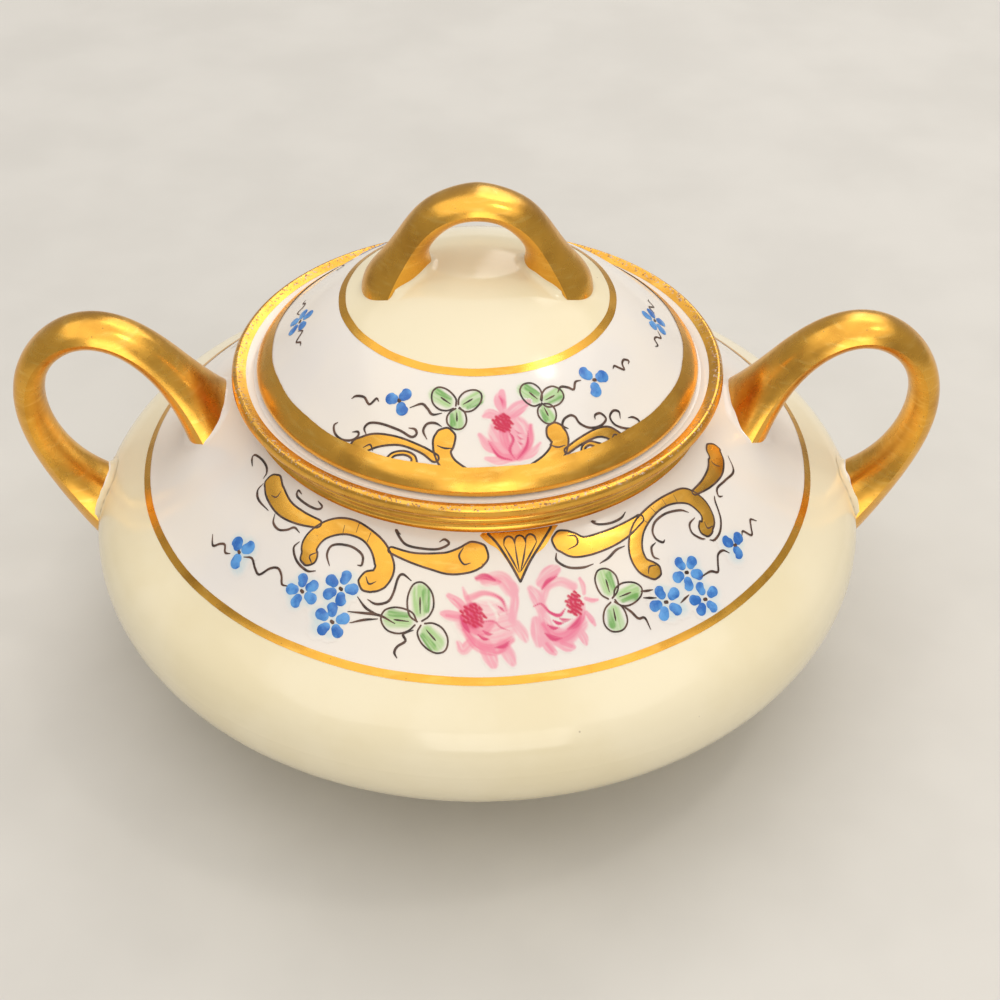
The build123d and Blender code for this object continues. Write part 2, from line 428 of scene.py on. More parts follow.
def gilding(name, wear=None):
    """Burnished gold over glaze: darker brown in random blotches, partly worn gilding and partly painted
    shade, finely scratched, with pinholes.

    wear(tree) is 1 where use has worn the gold through to brown and white grains.
    """
    def build(tree):
        # random blotches darkened to brown: partly wear of the gold, partly painted shade standing in for
        # dark reflections
        rubbed_and_shade = between(tree, mottle(tree, 140, 6.0), 0.45, 0.8, 0.0, 0.5)
        colour = blend(tree, rubbed_and_shade, GOLD, GOLD_RUBBED_AND_SHADE)
        scratch = mottle(tree, 1500, 3.0, (0.16, 0.16, 1.0))
        colour = blend(tree, between(tree, scratch, 0.5, 0.75, 0.0, 0.4), colour, GOLD_BRIGHT)
        pinholes = specks(tree, 520, 0.07)
        colour = blend(tree, calc(tree, "MULTIPLY", pinholes, 0.5), colour, PINHOLE)
        metal = between(tree, pinholes, 0.0, 1.0, 0.95, 0.3)
        if wear:
            grains = between(tree, mottle(tree, 2200, 5.0), 0.54, 0.61)
            grains = calc(tree, "MULTIPLY", wear(tree), grains)
            fleck = between(tree, mottle(tree, 1300, 2.0), 0.46, 0.58)
            fleck = blend(tree, fleck, WORN_BROWN, WORN_WHITE)
            colour = blend(tree, grains, colour, fleck)
            metal = calc(tree, "MULTIPLY", metal, between(tree, grains, 0.0, 1.0, 1.0, 0.1))
        return {
            "Base Color": colour,
            "Metallic": metal,
            "Roughness": between(tree, mottle(tree, 260, 5.0), 0.3, 0.75, 0.22, 0.34),
            "Normal": bump(tree, scratch, 0.01),
        }
    return finished(name, build)


def between_heights(tree, heights):
    """0 at the first of two heights in mm, 1 at the second."""
    return between(tree, height(tree), heights[0] * MM, heights[1] * MM)


def crest_wear(tree):
    """The top of the rolled lip, where the lid and the spoon rub it."""
    return between_heights(tree, LIP_CREST_Z)


def brushed(name, thin, thick, roughness, scale=600):
    """Fired colour laid on with a brush: thin and thick are its two linear colours."""
    def build(tree):
        return {
            "Base Color": blend(tree, between(tree, mottle(tree, scale, 4.0), 0.35, 0.65), thin, thick),
            "Roughness": between(tree, mottle(tree, 800), 0.3, 0.7, roughness, roughness + 0.15),
            "Normal": bump(tree, mottle(tree, 900, 2.0), 0.01),
            "IOR": 1.5,
        }
    return finished(name, build)


def foot_glaze(tree):
    """Glazed like the body above, wiped bare and a little grubby where the foot stands."""
    bare = between_heights(tree, FOOT_BARE_Z)
    grime = between(tree, mottle(tree, 400, 5.0), 0.4, 0.7)
    grubby = blend(tree, grime, (0.62, 0.55, 0.45), (0.36, 0.29, 0.21))
    return {
        "Base Color": blend(tree, bare, ivory_glaze(tree), grubby),
        "Roughness": between(tree, bare, 0.0, 1.0, 0.12, 0.75),
        "Normal": bump(tree, mottle(tree, 700, 3.0), 0.015),
    }


def bisque(tree):
    """The lid's flange: white glaze that thins to bare china at its lower edge."""
    bare = between_heights(tree, FLANGE_BARE_Z)
    grain = between(tree, mottle(tree, 500, 5.0), 0.35, 0.7)
    clay = blend(tree, grain, (0.72, 0.68, 0.6), (0.55, 0.49, 0.4))
    return {
        "Base Color": blend(tree, bare, WHITE, clay),
        "Roughness": between(tree, bare, 0.0, 1.0, 0.12, 0.7),
        "Normal": bump(tree, mottle(tree, 900, 4.0), 0.02),
    }


bowl_china = porcelain("bowl_china", bowl_ivory)
lid_china = porcelain("lid_china", lid_ivory)
bowl_painted = porcelain("bowl_painted_china", bowl_ivory, painted=True)
lid_painted = porcelain("lid_painted_china", lid_ivory, painted=True)
gold = gilding("burnished_gold")
lip_gold = gilding("worn_lip_gold", crest_wear)
ink = brushed("brown_black_ink", (0.13, 0.065, 0.042), (0.032, 0.018, 0.014), 0.28)
blue = brushed("blue_enamel", (0.12, 0.36, 0.78), (0.03, 0.15, 0.52), 0.16, 420)
FINISHES = {
    "bowl_body": bowl_china,
    "foot_ring": finished("foot_china", foot_glaze),
    "handle_right": gold,
    "handle_left": gold,
    "lid_shell": lid_china,
    "lid_flange": finished("flange_china", bisque),
    "lid_handle": gold,
}
for node, material in FINISHES.items():
    for slot in nodes[node].material_slots:
        slot.material = material


# ---------------------------------------------------------------- slip round the handles' roots

# In mm
SLIP = 1.4               # radius of the wiped slip in the corner between a handle and the wall
SLIP_STEP = 0.5          # between its places along the corner
SLIP_BITE = 0.1          # how far it reaches into the handle
SLIP_SINK = 0.02         # and into the wall
SLIP_SPLIT_Z = 40.0      # a side handle's upper root is above this, its lower root below
ON_SKIN = 0.03           # a handle's vertices this close to the wall belong to its root


def root_loop(node, skin, keep):
    """Evenly spaced places round the line where one root of a handle meets the wall, and their middle."""
    mesh = nodes[node].data
    near = set()
    for vertex in mesh.vertices:
        if (vertex.co - skin.nearest(vertex.co)[0]).length < ON_SKIN * MM:
            near.add(vertex.index)
    rim = []
    for face in mesh.polygons:
        touching = [k for k in face.vertices if k in near]
        if 0 < len(touching) < len(face.vertices):
            rim += [mesh.vertices[k].co for k in touching if keep(mesh.vertices[k].co)]
    middle = sum(rim, Vector()) / len(rim)
    normal = skin.nearest(middle)[1]
    level = normal.orthogonal().normalized()
    rise = normal.cross(level)
    angles = [math.atan2((place - middle) @ rise, (place - middle) @ level) for place in rim]
    order = np.argsort(angles)
    ring = np.array(rim)[np.append(order, order[0])]
    run = np.concatenate([[0.0], np.cumsum(np.linalg.norm(np.diff(ring, axis=0), axis=1))])
    even = np.linspace(0, run[-1], int(run[-1] / (SLIP_STEP * MM)), endpoint=False)
    ring = np.stack([np.interp(even, run, c) for c in ring.T], -1)
    ring = sum(np.roll(ring, shift, axis=0) for shift in (-2, -1, 0, 1, 2)) / 5
    return [Vector(place) for place in ring], middle


def slip_fillet(name, node, skin, keep, body, material, slot):
    """A concave fillet of slip round one root of a handle."""
    ring, middle = root_loop(node, skin, keep)
    handle = tree_of(node)
    rows = []
    for k, place in enumerate(ring):
        place, normal = skin.nearest(place)
        out = normal.cross(ring[(k + 2) % len(ring)] - ring[k - 2]).normalized()
        if out @ (place - middle) < 0:
            out.negate()
        size = SLIP * MM * (1 + 0.3 * noise.noise(place / (3 * MM)))
        wall = handle.ray_cast(place + normal * size + out * (4 * size), -out, 8 * size)[0]
        lean = min(size, (wall - place) @ out) if wall else -size
        steep = max(0.0, min(1.0, 1.2 + lean / size))
        row = []
        for angle in np.linspace(0, math.pi / 2, 7):
            away = size * (1 - math.cos(angle)) + (lean - SLIP_BITE * MM) * math.cos(angle)
            off = size * (1 - math.sin(angle))
            row.append(place + (out * away + normal * off) * steep - normal * (SLIP_SINK * MM))
        rows.append(row)
    rows.append(rows[0])
    strip = Layer(skin, 0.0)
    strip.grid(np.array(rows))
    strip.build(name, body, material, slot)


BOWL_ROOTS = (("upper", lambda p: p.z > SLIP_SPLIT_Z * MM), ("lower", lambda p: p.z < SLIP_SPLIT_Z * MM))
LID_ROOTS = (("left", lambda p: p.x < 0), ("right", lambda p: p.x > 0))
for side in ("left", "right"):
    for root, keep in BOWL_ROOTS:
        slip_fillet(f"slip_{side}_{root}", f"handle_{side}", shoulder, keep, "bowl", bowl_china, "porcelain")
for root, keep in LID_ROOTS:
    slip_fillet(f"slip_lid_{root}", "lid_handle", dome, keep, "lid", lid_china, "lid_porcelain")


# ---------------------------------------------------------------- decoration of the bowl
# Each stroke is a list of (across, down, width) in mm; a bare (across, down) takes the brush's own width.

def with_width(places, width):
    """Gives each place the brush's width, and the first and last about a third of it."""
    ends = (0, len(places) - 1)
    return [(*p, width * (0.35 if k in ends else 1.0)) for k, p in enumerate(places)]


BOWL_SCROLLS = (
    # the horns and arches left of the pendant, then those right of it
    [(-16, 4.3, 1.0), (-12, 4.9, 1.6), (-8, 5.1, 2.7), (-5, 5.1, 3.7), (-2.2, 4.4, 4.4), (-0.8, 3.7, 4.5)],
    [(-29.9, 9.4, 3.0), (-30.8, 7.3, 3.3), (-30, 4.9, 3.0), (-27.8, 3.2, 2.9), (-24.8, 2.5, 2.5),
     (-21.2, 3.0, 2.1), (-18.2, 4.6, 2.6), (-16.3, 7.2, 3.2), (-16.7, 9.3, 3.4), (-18.1, 10, 3.4)],
    [(-46.3, 2.6, 3.2), (-44, 3.6, 3.3), (-40, 4.6, 2.9), (-36, 4.6, 2.3), (-31.8, 4.1, 1.4)],
    [(16.2, 2.9, 3.7), (17.8, 3.9, 4.0), (20, 4.6, 3.1), (24, 4.6, 2.8), (28, 4.3, 2.3), (32.5, 3.6, 1.3)],
    [(42.9, 10.8, 2.6), (44.7, 9.6, 3.0), (45.5, 7.5, 3.4), (44.5, 4.9, 3.0), (41.4, 3.6, 1.9),
     (37.8, 3.2, 1.5), (34.2, 3.7, 1.7), (31.2, 4.8, 2.1), (29.2, 6.6, 2.4), (28.2, 8.6, 2.7),
     (28.3, 10.6, 2.8), (29.5, 12, 2.8)],
    [(46.5, 5.2, 0.9), (50.5, 5.6, 1.8), (54.5, 5.5, 2.7), (57.2, 4.7, 3.2), (59, 3.7, 3.2)],
)
PENDANT = [(8.2, 0.3, 12.6), (7.9, 2.3, 9.0), (7.4, 4.2, 4.8), (7.1, 6.2, 2.2), (7.0, 8.0, 0.4)]
PENDANT_EDGES = (
    [(1.9, 0.2), (3.6, 1.9), (5.5, 5.0), (7.0, 8.3)],
    [(14.6, 0.2), (12.3, 2.2), (9.2, 5.2), (7.0, 8.3)],
)
PENDANT_LOBES = (4.8, 6.9, 9.0)     # where each begins across; one is 2.1 wide
BOWL_TENDRILS = (
    [(-53.7, 3.3), (-55.5, 2.6), (-55.8, 1.9), (-53.5, 1.4), (-51, 1.5), (-49.5, 2.2), (-49, 3.2)],
    [(-48, 3.8), (-47.8, 5.2), (-46, 6.2), (-42.5, 6.5)],
    [(-38.8, 1.2), (-40, 1), (-39.3, 1.9), (-36, 2.2), (-33.5, 2), (-33, 1.3), (-34.5, 0.8)],
    [(-40.8, 6.3), (-39.8, 7.6), (-38, 8), (-36.5, 7.3), (-35.5, 6.4), (-34, 6.7)],
    [(-33, 8), (-33.3, 9.3), (-31.5, 10.9), (-29, 11.6), (-27.6, 11.1)],
    [(-25.7, 9.5), (-27, 8), (-27, 6.5), (-25.5, 5.7), (-23, 5.5), (-20.8, 6.3), (-20.3, 7.8), (-21, 8)],
    [(-15.2, 1.5), (-16.3, 0.9), (-15.3, 1.9), (-13.5, 3), (-10.5, 3.2), (-7.5, 3), (-5.6, 2),
     (-6.5, 1.3), (-7.4, 1.8)],
    [(-11.2, 8.6), (-12.8, 7.8), (-13.5, 8.5), (-13.7, 11), (-14.3, 12.5), (-16, 13.2), (-17.5, 12.8)],
    [(14.2, 4.6), (13.9, 5.8), (15.5, 7.2), (18, 7.8), (20, 7.7)],
    [(23.8, 1.2), (23, 1), (24, 1.8), (26.5, 2.3), (29, 2.2), (30.5, 1.6)],
    [(21.2, 7.9), (23, 7.5), (25, 6.7), (26.8, 6.6)],
    [(34.4, 8.5), (33.8, 8.7), (33, 7.7), (33.3, 6.3), (35, 5.2), (38, 5), (41, 5.9), (42.2, 7)],
    [(32.5, 8.2), (31.3, 8.6), (30.8, 10), (31.5, 10.8)],
    [(42.5, 8.3), (40.7, 8.6), (40, 10), (40.8, 11.5), (41.5, 12)],
    [(42.2, 12.6), (43, 13.1), (45, 12.7), (47, 11.2), (48.7, 8.7), (49.5, 8)],
    [(51, 9), (50.3, 8.5), (51.5, 7.5), (54.5, 7.8), (58, 8.2), (60.5, 6.2)],
    [(-49, 15.6), (-47.5, 16.8), (-46.5, 15.8), (-45.5, 15.3), (-44.5, 16.2), (-43.5, 15.8)],
    [(-40.8, 14.8), (-39.3, 14.2), (-37.8, 15.2), (-36.5, 15.7), (-35.3, 14), (-34, 13.3),
     (-32.8, 14), (-32, 15.2), (-31, 15.1)],
    [(36.5, 16.6), (38.8, 16.7), (40, 17.5), (40.9, 16.4), (41.9, 15.3), (43.2, 15.3), (44, 16.3)],
    [(48.4, 15.8), (49.2, 15.4), (50.2, 17), (51.3, 16), (52.3, 15.2), (53.2, 16.2)],
    [(-19.2, 12.8), (-17.3, 14.2), (-15, 14.8)],
    [(-20, 15.4), (-17.5, 15), (-15, 14.8), (-12.5, 15.6)],
    [(-19.2, 17), (-17.2, 16), (-15.2, 15.4)],
    [(-9.6, 16.2), (-11, 17), (-10.5, 18), (-11.5, 19), (-11.8, 20), (-11.3, 20.8)],
    [(26, 14.2), (27, 14.5), (28, 14.7)],
    [(26, 15.3), (27, 15.7), (28, 16.1)],
    [(21.9, 14.9), (23.2, 16.5), (24, 18), (25, 18.3), (25.2, 20.3)],
    [(31.4, 18.5), (32.4, 18.2), (33.3, 18)],
)
BOWL_TICKS = (
    # curls on the horns' heads and cross strokes on the arches
    [(-2.8, 2.5), (-3.5, 3.9), (-2.6, 5.2), (-1.4, 5.0)],
    [(-28.9, 8.3), (-29.8, 9.3), (-28.9, 10.2)],
    [(-18.9, 9.4), (-18, 10.4), (-17, 9.8)],
    [(-43.2, 2.8), (-43.1, 4), (-44.3, 4.3)],
    [(-26.5, 2.6), (-26.0, 4.2)],
    [(-23.9, 1.5), (-23.7, 3.0)],
    [(-20.9, 2.4), (-20.9, 4.0)],
    [(16.5, 4.4), (18.5, 3.9), (18.7, 2.6), (17.2, 2.2)],
    [(28.5, 12.1), (29.2, 11.2), (30.4, 11.4)],
    [(43.6, 9.8), (43.3, 10.9), (44.5, 11.2)],
    [(32.8, 3.7), (33.4, 4.9)],
    [(35.9, 2.9), (36.2, 4.1)],
    [(39.3, 2.8), (39.2, 4.1)],
    [(42.2, 3.3), (41.7, 4.6)],
    [(56, 4), (55.9, 5), (56.5, 5.8)],
    # the pendant's fan
    [(4.8, 2.2), (6.0, 4.6), (6.9, 6.8)],
    [(6.9, 2.2), (6.95, 4.6), (7.05, 6.8)],
    [(9.0, 2.2), (8.1, 4.6), (7.2, 6.8)],
    [(11.1, 2.2), (9.2, 4.4), (7.4, 6.6)],
    *([(x, 2.2), (x + 0.25, 1.2), (x + 1.05, 0.8), (x + 1.85, 1.2), (x + 2.1, 2.2)] for x in PENDANT_LOBES),
)
BOWL_FLOWERS = (
    # (centre, petals, petal width)
    ((-22.3, 12.3), ((-22.2, 10.4), (-20.5, 11.9), (-21.7, 13.9), (-23.8, 13.6), (-24.2, 11.6)), 1.9),
    ((-21.9, 17.6), ((-22.5, 15.8), (-20.4, 16.7), (-20.7, 18.8), (-22.8, 19.1), (-23.8, 17.1)), 1.9),
    ((-28.3, 14.8), ((-29, 13.2), (-27, 13.5), (-26.5, 15.3), (-28.5, 16.6), (-30, 15.2)), 1.9),
    ((-42.2, 14.6), ((-43.4, 13.8), (-41.1, 13.2), (-41.6, 16.1)), 2.3),
    ((34.8, 14.7), ((34.6, 13), (36.6, 13.8), (36.4, 15.9), (34.1, 16.5), (33.1, 14.7)), 1.9),
    ((29.2, 17.3), ((29, 15.6), (31, 16.7), (30.2, 19), (28.1, 18.9), (27.4, 17.2)), 1.9),
    ((35.4, 19.9), ((35.7, 18.1), (37.2, 19.6), (35.8, 21.5), (34.0, 21), (33.8, 19.2)), 1.8),
    ((45.9, 16.0), ((45.1, 14.8), (47.3, 15.6), (45.5, 17.2)), 2.1),
)


def petals(layer, hearts, flowers, turn):
    """Blue flowers: each petal is one short fat stroke from near the dark heart outwards."""
    for centre, tips, width in flowers:
        cx, cy = centre
        for x, y in tips:
            near = (cx + 0.75 * (x - cx), cy + 0.75 * (y - cy), 0.8 * width)
            far = (cx + 1.1 * (x - cx), cy + 1.1 * (y - cy), width)
            layer.stroke([near, far], turn, columns=6, crown=0.07)
        hearts.stroke([(cx - 0.1, cy, 0.55), (cx + 0.15, cy + 0.1, 0.6)], turn)


def halo(skin, flowers, middle, size, turn):
    """The pale blue that the petals' colour left round them."""
    wash = Wash(skin, middle, size, turn, step=0.3)
    for _, tips, width in flowers:
        for x, y in tips:
            x, y = x - middle[0], y - middle[1]
            stations = [(x - 0.1, y, 2.0 * width), (x + 0.2, y + 0.2, 2.0 * width)]
            wash.dab(stations, BLUE_PALE, 0.6, 1.4)
    return wash


BARE = (1.0, 1.0, 1.0)        # wiped back to the white china
PINK_PALE = (1.0, 0.49, 0.63)
PINK = (0.97, 0.25, 0.43)
ROSE = (0.82, 0.07, 0.24)
CRIMSON = (0.70, 0.01, 0.085)
GREEN_PALE = (0.48, 0.78, 0.36)
GREEN = (0.22, 0.52, 0.15)
GREEN_DEEP = (0.10, 0.30, 0.07)
BLUE_PALE = (0.66, 0.88, 1.0)


def heart(wash, cx, cy, rx, ry, count=26):
    """A rose's stippled heart: small crimson dabs packed in a spiral over a rosy ground."""
    wash.dab([(cx, cy - 0.4 * ry, 1.7 * rx), (cx, cy + 0.4 * ry, 1.7 * rx)], ROSE, 0.9, 0.6)
    for k in range(count):
        reach, angle = math.sqrt((k + 0.5) / count), 2.4 * k
        x, y = cx + rx * reach * math.cos(angle), cy + ry * reach * math.sin(angle)
        wash.dab([(x - 0.15, y - 0.1, 0.7), (x + 0.15, y + 0.15, 0.6)], CRIMSON, 1.0, 0.22)


def leaf(wash, layer, junction, centre, length, width, turn):
    """A clover leaf: pale green, darker down one side, with a loose sepia outline and a short vein.

    Its places are on the skin; the wash that it is brushed onto takes off its own middle.
    """
    (jx, jy), (cx, cy), (mx, my) = junction, centre, wash.middle
    long = np.array([cx - jx, cy - jy])
    long /= np.hypot(*long)
    wide = np.array([-long[1], long[0]])
    middle = np.array([cx - mx, cy - my])
    low, high, side = middle - 0.22 * length * long, middle + 0.22 * length * long, 0.24 * width * wide
    wash.dab([(*low, 0.74 * width), (*high, 0.9 * width)], GREEN_PALE, 0.85, 0.22 * width)
    wash.dab([(*(low + side), 0.32 * width), (*(high + side), 0.46 * width)], GREEN, 0.8, 0.4, 0.6)
    wash.dab([(*(low + 0.6 * side), 0.35), (*(high + side), 0.3)], GREEN_DEEP, 0.4, 0.3)
    rim = []
    for k in range(11):
        angle = 2 * math.pi * (k + 0.2) / 10.6
        bulge = 0.5 + 0.02 * math.sin(3 * angle + cx)
        back = bulge * length * math.cos(angle) * long
        edge = np.array([cx, cy]) - back + bulge * width * math.sin(angle) * wide
        rim.append((*edge, LINE_LEAF))
    layer.stroke(rim, turn)
    root = np.array([cx, cy]) - 0.3 * length * long
    vein_end = np.array([cx, cy]) + 0.12 * length * long
    layer.stroke(with_width([tuple(root), (cx, cy), tuple(vein_end)], LINE_LEAF), turn)


# Brush strokes of the roses as (colour, strength, softness, [(x, y, width), ...]), from pale to dark
BOWL_ROSES_MIDDLE = (6.6, 14.0)
BOWL_ROSES_SIZE = (28, 16.5)
BOWL_ROSES = (
    # left rose: outer petals, cup, shadows
    (PINK_PALE, 0.9, 0.6, [(-5.0, -6.2, 2.4), (-2.6, -6.4, 3.0), (-1.2, -4.6, 3.0)]),
    (PINK_PALE, 0.96, 0.42, [(-0.9, -5.2, 1.6), (-0.9, -2.6, 1.8), (-1.6, 0.2, 1.6)]),
    (PINK_PALE, 1, 0.36, [(-10.9, -3.6, 1.3), (-9.6, -2.6, 2.0), (-8.6, -1.4, 1.6)]),
    (PINK_PALE, 1, 0.36, [(-12.3, -0.8, 1.1), (-11.2, -0.6, 2.0), (-9.4, -0.4, 1.8)]),
    (PINK_PALE, 0.84, 0.36, [(-8.6, -5.0, 0.7), (-8.2, -3.4, 1.3), (-7.8, -2.2, 1.2)]),
    (PINK_PALE, 0.9, 0.42, [(-10.2, 3.6, 1.2), (-9.6, 4.6, 2.0), (-8.4, 3.6, 2.0)]),
    (PINK_PALE, 0.96, 0.48, [(-6.2, 3.6, 2.6), (-5.6, 5.6, 2.8), (-5.2, 6.8, 2.0)]),
    (PINK_PALE, 0.96, 0.48, [(-3.4, 4.0, 2.4), (-2.6, 5.6, 2.4), (-2.2, 6.8, 1.6)]),
    (PINK_PALE, 0.72, 0.48, [(-1.0, 1.0, 2.0), (-0.2, 2.4, 2.2), (0.2, 3.4, 1.4)]),
    (PINK_PALE, 0.66, 1.3, [(-7.4, 0.2, 7.0), (-5.4, 0.8, 8.6), (-4.0, 0.6, 7.6)]),
    (PINK, 0.8, 0.59, [(-9.0, 1.6, 1.6), (-7.4, 3.9, 2.2), (-4.6, 4.6, 2.4), (-2.0, 3.2, 1.6)]),
    (PINK, 0.72, 0.39, [(-6.2, -6.4, 1.1), (-4.6, -6.7, 1.4), (-2.9, -5.9, 1.0)]),
    (PINK, 0.58, 0.33, [(-10.2, -3.2, 0.7), (-8.8, -1.6, 1.1)]),
    (PINK, 0.58, 0.33, [(-11.6, -0.6, 0.8), (-9.2, -0.4, 1.2)]),
    (PINK, 0.65, 0.52, [(-7.8, -3.4, 1.6), (-5.4, -4.2, 1.4), (-3.0, -3.2, 1.2), (-2.2, -0.8, 0.9)]),
    (PINK, 0.72, 0.45, [(-8.4, 0.8, 2.0), (-6.6, 1.6, 2.4), (-5.0, 0.6, 1.8)]),
    (ROSE, 0.89, 0.3, [(-6.4, -6.6, 0.84), (-5.0, -6.9, 1.35), (-3.6, -6.2, 0.68)]),
    (ROSE, 0.8, 0.3, [(-4.2, -4.2, 0.34), (-2.8, -3.0, 0.76), (-2.3, -1.4, 0.34)]),
    (ROSE, 0.89, 0.25, [(-3.7, -2.2, 0.34), (-3.0, -1.6, 0.68), (-2.7, -1.2, 0.34)]),
    (ROSE, 0.89, 0.25, [(-4.4, -1.6, 0.34), (-3.8, -1.0, 0.68), (-3.5, -0.6, 0.34)]),
    (ROSE, 0.8, 0.25, [(-5.9, 0.2, 0.51), (-4.4, 0.3, 0.59), (-3.5, 1.2, 0.59), (-2.2, 1.8, 0.34)]),
    (ROSE, 0.97, 0.25, [(-7.0, 2.3, 0.51), (-6.2, 2.9, 0.84), (-5.4, 3.0, 0.34)]),
    (ROSE, 0.97, 0.25, [(-6.2, 1.7, 0.51), (-5.5, 2.2, 0.84), (-4.8, 2.2, 0.34)]),
    (ROSE, 0.89, 0.3, [(-4.6, 4.3, 0.51), (-3.2, 4.1, 1.01), (-2.2, 3.2, 0.34)]),
    (ROSE, 0.97, 0.5, [(-9.3, -0.4, 1.19), (-9.0, 0.8, 1.49), (-8.4, 1.8, 0.84)]),
    (BARE, 0.7, 0.5, [(-4.9, -2.6, 0.9), (-3.9, -1.0, 1.2), (-3.9, 0.0, 0.8)]),
    (BARE, 0.6, 0.4, [(-5.8, 5.0, 0.4), (-4.4, 5.4, 0.5), (-3.4, 5.1, 0.3)]),
    (BARE, 0.6, 0.4, [(-6.3, -5.2, 0.4), (-4.6, -5.5, 0.7), (-3.0, -4.6, 0.4)]),
    # right rose
    (PINK_PALE, 1, 0.48, [(3.6, -5.2, 2.2), (5.0, -6.3, 3.0), (6.2, -6.8, 2.0)]),
    (PINK_PALE, 0.84, 0.54, [(1.8, -4.4, 1.6), (2.6, -3.0, 2.6), (3.2, -1.2, 2.4)]),
    (PINK_PALE, 0.9, 0.48, [(2.0, 0.6, 1.8), (2.0, 2.4, 2.4), (2.2, 4.2, 1.8)]),
    (PINK_PALE, 1, 0.36, [(3.0, 3.8, 1.8), (3.8, 5.2, 1.8), (4.5, 6.0, 1.2)]),
    (PINK_PALE, 1, 0.36, [(5.2, 4.2, 2.0), (6.6, 5.2, 2.2), (7.5, 5.6, 1.2)]),
    (PINK_PALE, 1, 0.3, [(8.8, 3.4, 1.6), (9.4, 4.6, 1.6), (9.6, 5.5, 0.9)]),
    (PINK_PALE, 1, 0.3, [(9.8, -4.6, 0.8), (10.2, -3.4, 1.1), (10.2, -2.2, 0.9)]),
    (PINK_PALE, 1, 0.3, [(10.3, -1.4, 0.8), (11.4, -0.8, 1.0), (12.3, -0.7, 0.7)]),
    (PINK_PALE, 1, 0.3, [(10.2, 0.8, 0.9), (10.9, 2.0, 1.2), (11.4, 3.0, 0.7)]),
    (PINK_PALE, 0.84, 0.6, [(3.4, -2.4, 2.0), (4.4, -4.4, 2.2), (6.6, -4.8, 2.0), (8.6, -3.6, 2.0)]),
    (PINK_PALE, 0.96, 0.72, [(3.2, -0.6, 2.2), (3.8, 2.6, 3.4), (6.4, 3.8, 3.6), (9.0, 2.4, 3.2)]),
    (PINK, 0.87, 0.59,
     [(3.2, 1.4, 1.4), (4.6, 3.4, 2.0), (7.0, 3.6, 2.2), (9.2, 1.6, 1.8), (9.8, -0.6, 1.2)]),
    (PINK, 0.87, 0.39, [(3.8, -4.3, 1.0), (4.9, -5.3, 1.2), (6.2, -6.0, 0.7)]),
    (PINK, 0.65, 0.33, [(3.4, 4.4, 0.9), (4.2, 5.6, 0.9)]),
    (PINK, 0.65, 0.33, [(5.8, 4.6, 1.0), (7.2, 5.4, 0.9)]),
    (PINK, 0.72, 0.3, [(10.3, 1.2, 0.5), (11.0, 2.4, 0.6)]),
    (PINK, 0.72, 0.3, [(10.4, -1.1, 0.5), (11.8, -0.8, 0.5)]),
    (ROSE, 1, 0.3, [(3.6, -4.1, 0.51), (4.6, -5.2, 1.01), (6.1, -5.7, 0.51)]),
    (ROSE, 0.97, 0.2,
     [(2.0, -1.6, 0.42), (3.2, -1.8, 0.59), (4.4, -0.3, 0.68), (5.8, 0.4, 0.84), (6.8, -0.4, 0.51)]),
    (ROSE, 1, 0.25, [(3.9, 1.6, 0.51), (4.7, 2.2, 0.84), (5.6, 2.2, 0.34)]),
    (ROSE, 1, 0.25, [(4.8, 1.0, 0.51), (5.6, 1.6, 0.84), (6.6, 1.6, 0.34)]),
    (ROSE, 1, 0.25, [(5.9, 0.9, 0.51), (6.7, 1.3, 0.84), (7.8, 1.3, 0.34)]),
    (ROSE, 0.97, 0.3, [(3.3, 2.8, 0.51), (4.5, 3.7, 1.19), (5.8, 3.9, 0.51)]),
    (BARE, 0.8, 0.6, [(4.2, -1.8, 1.2), (5.6, -2.4, 1.8), (6.6, -1.8, 1.4)]),
    (BARE, 0.5, 0.4, [(3.4, 0.4, 0.5), (4.4, 1.4, 0.6), (5.8, 1.9, 0.3)]),
    (ROSE, 0.8, 0.4, [(7.0, 2.7, 0.68), (8.4, 2.2, 1.35), (9.3, 1.0, 0.68)]),
)
BOWL_HEARTS = (
    # (x, y, half width, half height)
    (-7.4, -0.7, 1.9, 1.8),
    (8.5, -0.9, 1.3, 1.9),
)
LID_ROSE_MIDDLE = (3.7, 12.0)
LID_ROSE_SIZE = (13, 13.5)
